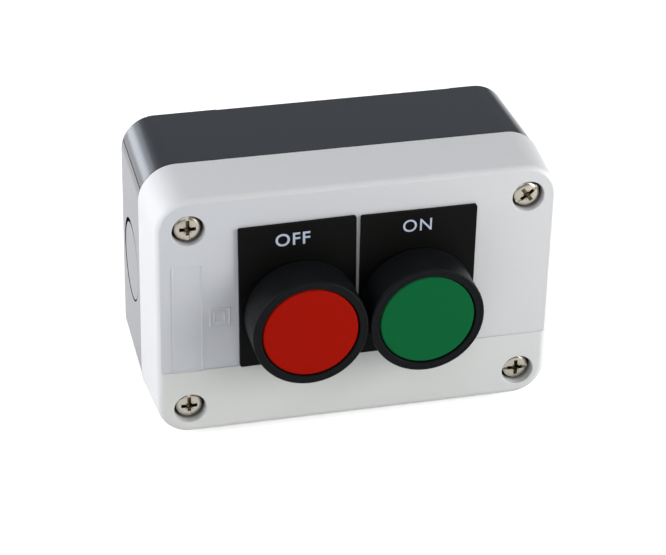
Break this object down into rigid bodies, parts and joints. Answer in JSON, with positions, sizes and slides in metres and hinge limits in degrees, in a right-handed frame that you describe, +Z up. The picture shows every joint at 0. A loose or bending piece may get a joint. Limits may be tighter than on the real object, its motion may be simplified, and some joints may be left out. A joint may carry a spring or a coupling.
{
  "type": "pushbutton control station",
  "caption": "Surface-mounted pushbutton box for machine control: black base, light grey screwed cover, flush red off and green on heads with spring-returned contact blocks inside.",
  "frame": {"origin": "centre of the flat rear face that goes against the wall", "axes": "+X along the case from the off button to the on button, +Y into the wall (the buttons face -Y), +Z up the wall"},
  "size_m": [0.105, 0.0598, 0.0694],
  "materials": {
    "base_black": "moulded black plastic, semi-gloss",
    "cover_grey": "moulded light grey plastic, satin",
    "plate_black": "matt black plate",
    "head_black": "satin black plastic",
    "cap_red": "satin red plastic",
    "cap_green": "satin green plastic",
    "stem_grey": "dark grey nylon",
    "rubber_black": "matt rubber",
    "zinc_steel": "nickel-plated steel",
    "spring_steel": "drawn spring wire",
    "contact_brass": "stamped brass",
    "block_grey": "moulded dark grey plastic",
    "contact_red": "red plastic",
    "contact_green": "green plastic"
  },
  "bodies": {
    "case": {"base_box": "base_black", "cover": "cover_grey", "cover_gasket": "rubber_black", "cover_screw_top_left": "zinc_steel", "cover_screw_top_right": "zinc_steel", "cover_screw_bottom_left": "zinc_steel", "cover_screw_bottom_right": "zinc_steel", "legend_plate_off": "plate_black", "legend_plate_on": "plate_black", "button_head_off": "head_black", "button_head_on": "head_black", "head_gasket_off": "rubber_black", "head_gasket_on": "rubber_black", "lock_nut_off": "stem_grey", "lock_nut_on": "stem_grey", "return_spring_off": "spring_steel", "return_spring_on": "spring_steel", "contact_foot_off": "block_grey", "contact_foot_on": "block_grey", "contact_housing_off": "block_grey", "contact_housing_on": "block_grey", "contact_spring_off": "spring_steel", "contact_spring_on": "spring_steel", "fixed_contact_off_top": "contact_brass", "fixed_contact_off_bottom": "contact_brass", "fixed_contact_on_top": "contact_brass", "fixed_contact_on_bottom": "contact_brass", "clamp_plate_off_top": "zinc_steel", "clamp_plate_off_bottom": "zinc_steel", "clamp_plate_on_top": "zinc_steel", "clamp_plate_on_bottom": "zinc_steel", "terminal_screw_off_top": "zinc_steel", "terminal_screw_off_bottom": "zinc_steel", "terminal_screw_on_top": "zinc_steel", "terminal_screw_on_bottom": "zinc_steel"},
    "off_button": {"button_cap_off": "cap_red", "button_stem_off": "stem_grey"},
    "on_button": {"button_cap_on": "cap_green", "button_stem_on": "stem_grey"},
    "off_carriage": {"contact_plunger_off": "contact_red", "contact_bridge_off": "contact_brass"},
    "on_carriage": {"contact_plunger_on": "contact_green", "contact_bridge_on": "contact_brass"}
  },
  "joints": [
    {"name": "off_button_press", "type": "slide", "parent": "case", "child": "off_button", "axis": [0, 1, 0], "range_m": [0, 0.004], "stiffness_N_per_m": 600, "springref_m": -0.005, "deforming": ["return_spring_off"]},
    {"name": "on_button_press", "type": "slide", "parent": "case", "child": "on_button", "axis": [0, 1, 0], "range_m": [0, 0.004], "stiffness_N_per_m": 600, "springref_m": -0.005, "deforming": ["return_spring_on"]},
    {"name": "off_contact_slide", "type": "slide", "parent": "case", "child": "off_carriage", "axis": [0, 1, 0], "range_m": [0, 0.004], "stiffness_N_per_m": 200, "springref_m": -0.003, "deforming": ["contact_spring_off"]},
    {"name": "on_contact_slide", "type": "slide", "parent": "case", "child": "on_carriage", "axis": [0, 1, 0], "range_m": [0, 0.004], "stiffness_N_per_m": 200, "springref_m": -0.003, "deforming": ["contact_spring_on"]}
  ],
  "couplings": [
    {"joint": "off_contact_slide", "follows": "off_button_press", "ratio": 1},
    {"joint": "on_contact_slide", "follows": "on_button_press", "ratio": 1}
  ]
}
